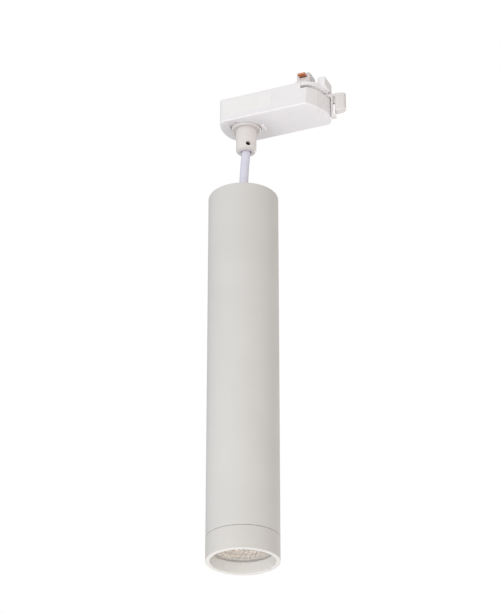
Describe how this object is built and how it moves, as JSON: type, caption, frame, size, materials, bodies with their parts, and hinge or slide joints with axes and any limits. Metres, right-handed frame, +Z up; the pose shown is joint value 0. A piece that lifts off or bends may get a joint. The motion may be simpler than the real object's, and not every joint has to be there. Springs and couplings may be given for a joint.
{
  "type": "pendant track spotlight",
  "caption": "Slim white cylinder pendant light with a recessed reflector lamp, on a short cord from a swivelling track adapter with a quarter-turn locking lever.",
  "frame": {"origin": "on the track seat, the top face of the adapter, on the axis of the swivel and the cord grip; the pendant hangs 2.4 mm off that axis, towards -X", "axes": "+Z up into the rail, +X along the rail towards the locking lever, -Y the long side that carries the label"},
  "size_m": [0.1124, 0.055, 0.4066],
  "materials": {
    "white_plastic": "moulded white, fine satin",
    "grip_plastic": "moulded warm white, satin",
    "lever_plastic": "moulded white, satin",
    "label": "plain blank sticker, matt",
    "white_paint": "powder coat, warm white, matt",
    "ring_paint": "powder coat, warm white, matt",
    "cord_pvc": "smooth round PVC, cool white",
    "core_brown": "insulation",
    "core_blue": "insulation",
    "core_earth": "insulation, green and yellow",
    "silicone_lead": "silicone sleeve, off white",
    "steel": "zinc plated",
    "plated_thread": "nickel plated",
    "copper": "bare copper spring strip",
    "brass": "bare brass",
    "ceramic": "unglazed steatite",
    "lamp_base": "pressed ceramic",
    "pin_metal": "nickel plated",
    "dichroic": "vapour-coated facets",
    "clear_glass": "clear pressed glass",
    "capsule_glass": "clear quartz",
    "cushion": "silicone",
    "terminal_plastic": "natural polyamide"
  },
  "bodies": {
    "adapter": {"housing_shell": "white_plastic", "top_cover": "white_plastic", "cover_screws": "steel", "earth_contact": "brass", "label_plate": "label", "adapter_lead_live": "core_brown", "adapter_lead_neutral": "core_blue", "adapter_lead_earth": "core_earth"},
    "lever": {"lock_lever": "lever_plastic", "contact_turret": "lever_plastic", "contact_live": "copper", "contact_neutral": "copper"},
    "swivel": {"swivel_collar": "grip_plastic", "swivel_washer": "steel", "nipple_nut": "plated_thread", "swivel_nipple": "plated_thread", "cord_grip": "grip_plastic", "grub_screw": "steel"},
    "cord": {"cord": "cord_pvc"},
    "pendant": {"cord_tail": "cord_pvc", "tube_body": "white_paint", "top_cap": "white_paint", "cap_collar": "grip_plastic", "cap_nipple": "plated_thread", "cap_nut": "plated_thread", "terminal_bracket": "steel", "terminal_block": "terminal_plastic", "terminal_screws": "brass", "block_screw": "steel", "cord_clamp": "terminal_plastic", "clamp_screws": "steel", "tie_rods": "steel", "rod_nuts": "steel", "retaining_ring": "steel", "holder_plate": "steel", "lampholder": "ceramic", "holder_screws": "steel", "holder_contacts": "brass", "lead_live": "silicone_lead", "lead_neutral": "silicone_lead", "lead_earth": "core_earth", "core_live": "core_brown", "core_neutral": "core_blue", "core_earth": "core_earth"},
    "lamp": {"lamp_glass": "clear_glass", "lamp_reflector": "dichroic", "lamp_capsule": "capsule_glass", "lamp_base": "lamp_base", "lamp_pins": "pin_metal"},
    "ring_travel": {"lamp_cushion": "cushion"},
    "front_ring": {"front_ring": "ring_paint"}
  },
  "joints": [
    {"name": "lever_lock", "type": "hinge", "parent": "adapter", "child": "lever", "pos_m": [0.052, 0, 0], "axis": [0, 0, -1], "range_deg": [0, 90]},
    {"name": "grip_swivel", "type": "hinge", "parent": "adapter", "child": "swivel", "pos_m": [0, 0, -0.02], "axis": [0, 0, 1], "range_deg": [-170, 170]},
    {"name": "cord_swing", "type": "hinge", "parent": "swivel", "child": "cord", "pos_m": [0, 0, -0.0433], "axis": [0, 1, 0], "range_deg": [-35, 35], "deforming": ["cord"]},
    {"name": "pendant_tilt", "type": "hinge", "parent": "cord", "child": "pendant", "pos_m": [0, 0, -0.0775], "axis": [1, 0, 0], "range_deg": [-25, 25], "deforming": ["cord"]},
    {"name": "lamp_twist", "type": "hinge", "parent": "pendant", "child": "lamp", "pos_m": [-0.0024, 0, -0.33], "axis": [0, 0, -1], "range_deg": [0, 45]},
    {"name": "ring_travel", "type": "slide", "parent": "pendant", "child": "ring_travel", "axis": [0, 0, -1], "range_m": [0, 0.0045]},
    {"name": "ring_turn", "type": "hinge", "parent": "ring_travel", "child": "front_ring", "pos_m": [-0.0024, 0, -0.38], "axis": [0, 0, -1], "range_deg": [0, 1080]}
  ],
  "couplings": [
    {"joint": "ring_turn", "follows": "ring_travel", "rad_per_m": 4188.7}
  ]
}
